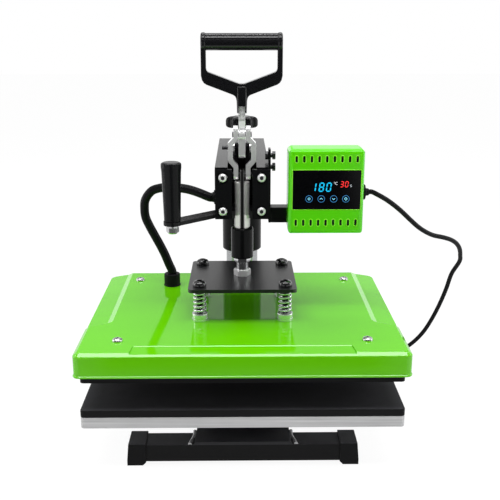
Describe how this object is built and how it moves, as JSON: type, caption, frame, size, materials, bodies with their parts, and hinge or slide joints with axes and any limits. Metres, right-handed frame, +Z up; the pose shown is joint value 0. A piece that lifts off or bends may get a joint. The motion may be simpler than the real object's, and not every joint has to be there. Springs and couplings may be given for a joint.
{
  "type": "swing-away heat press",
  "caption": "Swing-away heat press: a lever-driven ram presses a sprung green heat platen onto a padded lower plate; the head swings aside on a rear post.",
  "frame": {"origin": "middle of the footprint, cord left out, at the height of the table under the foot caps", "axes": "+Z up, front of the press towards -Y, +X to the user's right"},
  "size_m": [0.5126, 0.394, 0.507],
  "materials": {
    "frame_black": "satin black powder coat",
    "gloss_black": "gloss black enamel",
    "press_green": "gloss bright green enamel",
    "box_green": "gloss bright green",
    "cast_alu": "machined aluminium",
    "heat_face": "dark non-stick coating",
    "silicone": "matt black silicone",
    "chrome": "bright chrome plate",
    "post_steel": "ground steel",
    "zinc": "zinc plate",
    "dark_steel": "oiled dark steel",
    "spring_steel": "bright spring wire",
    "bronze": "sintered bronze",
    "black_plastic": "black plastic",
    "knob_plastic": "gloss black plastic",
    "panel": "black touch glass",
    "board": "green circuit board",
    "sheath": "heat-tinted steel sheath",
    "fleece": "pale ceramic fleece",
    "cord_jacket": "black flexible jacket",
    "hose_jacket": "black corrugated jacket"
  },
  "bodies": {
    "base": {"base_frame": "frame_black", "foot_caps": "black_plastic", "platen_pedestal": "frame_black", "pedestal_bolts": "zinc", "lower_platen": "cast_alu", "silicone_pad": "silicone", "post": "post_steel", "post_flange": "frame_black", "flange_bolts": "zinc", "cord_coil": "cord_jacket", "coil_tie": "black_plastic", "cord_plug": "black_plastic"},
    "head": {"pivot_sleeve": "gloss_black", "thrust_washer": "bronze", "arm": "gloss_black", "front_plates": "gloss_black", "front_plate_screws": "zinc", "ram_guide": "dark_steel", "box_bracket": "gloss_black", "bracket_bolts": "dark_steel", "box_tube": "gloss_black", "box_shell": "box_green", "box_back": "box_green", "box_screws": "zinc", "display_panel": "panel", "control_board": "board", "swing_bar": "gloss_black", "swing_bar_screws": "zinc", "swing_grip": "knob_plastic", "swing_grip_bolt": "zinc", "arm_hose_gland": "black_plastic", "hose": "hose_jacket", "cord_gland": "black_plastic", "cord": "cord_jacket"},
    "knob": {"pressure_screw": "zinc", "pressure_knob": "knob_plastic"},
    "pivot_block": {"pivot_block": "gloss_black", "pivot_bolt": "dark_steel", "pivot_spacers": "zinc"},
    "lever": {"lever": "chrome", "lever_handle": "knob_plastic", "handle_screws": "dark_steel", "upper_pin": "dark_steel"},
    "links": {"links": "chrome", "lower_pin": "dark_steel"},
    "ram": {"ram_shaft": "chrome", "ram_barrel": "gloss_black", "ram_stud": "chrome", "lock_nut": "chrome", "spring_plate": "frame_black"},
    "platen": {"heat_platen": "heat_face", "heating_element": "sheath", "insulation": "fleece", "cover_standoffs": "zinc", "platen_cover": "press_green", "cover_screws": "zinc", "studs": "gloss_black", "stud_collars": "chrome", "springs": "spring_steel", "cover_hose_gland": "black_plastic"}
  },
  "joints": [
    {"name": "swing", "type": "hinge", "parent": "base", "child": "head", "pos_m": [0, 0.156, 0.2], "axis": [0, 0, 1], "range_deg": [-100, 100], "deforming": ["cord"]},
    {"name": "pressure_adjust", "type": "slide", "parent": "head", "child": "pivot_block", "axis": [0, 0, 1], "range_m": [0, 0.006], "deforming": ["hose"]},
    {"name": "knob_turn", "type": "hinge", "parent": "head", "child": "knob", "pos_m": [0, 0.006, 0.39], "axis": [0, 0, 1], "range_deg": [0, 720.5]},
    {"name": "ram_slide", "type": "slide", "parent": "pivot_block", "child": "ram", "axis": [0, 0, 1], "range_m": [-0.0348, 0], "deforming": ["hose"]},
    {"name": "lever_turn", "type": "hinge", "parent": "pivot_block", "child": "lever", "pos_m": [0, -0.022, 0.365], "axis": [1, 0, 0], "range_deg": [0, 90.1]},
    {"name": "link_turn", "type": "hinge", "parent": "lever", "child": "links", "pos_m": [0, -0.03788, 0.38392], "axis": [1, 0, 0], "range_deg": [-87, 0]},
    {"name": "platen_float", "type": "slide", "parent": "ram", "child": "platen", "axis": [0, 0, 1], "range_m": [0, 0.01], "stiffness_N_per_m": 8000, "springref_m": -0.005, "deforming": ["springs", "hose"]}
  ],
  "couplings": [
    {"joint": "knob_turn", "follows": "pressure_adjust", "rad_per_m": 2094.4},
    {"joint": "lever_turn", "follows": "ram_slide", "rad_per_m": -45.138},
    {"joint": "link_turn", "follows": "ram_slide", "rad_per_m": 43.415}
  ]
}
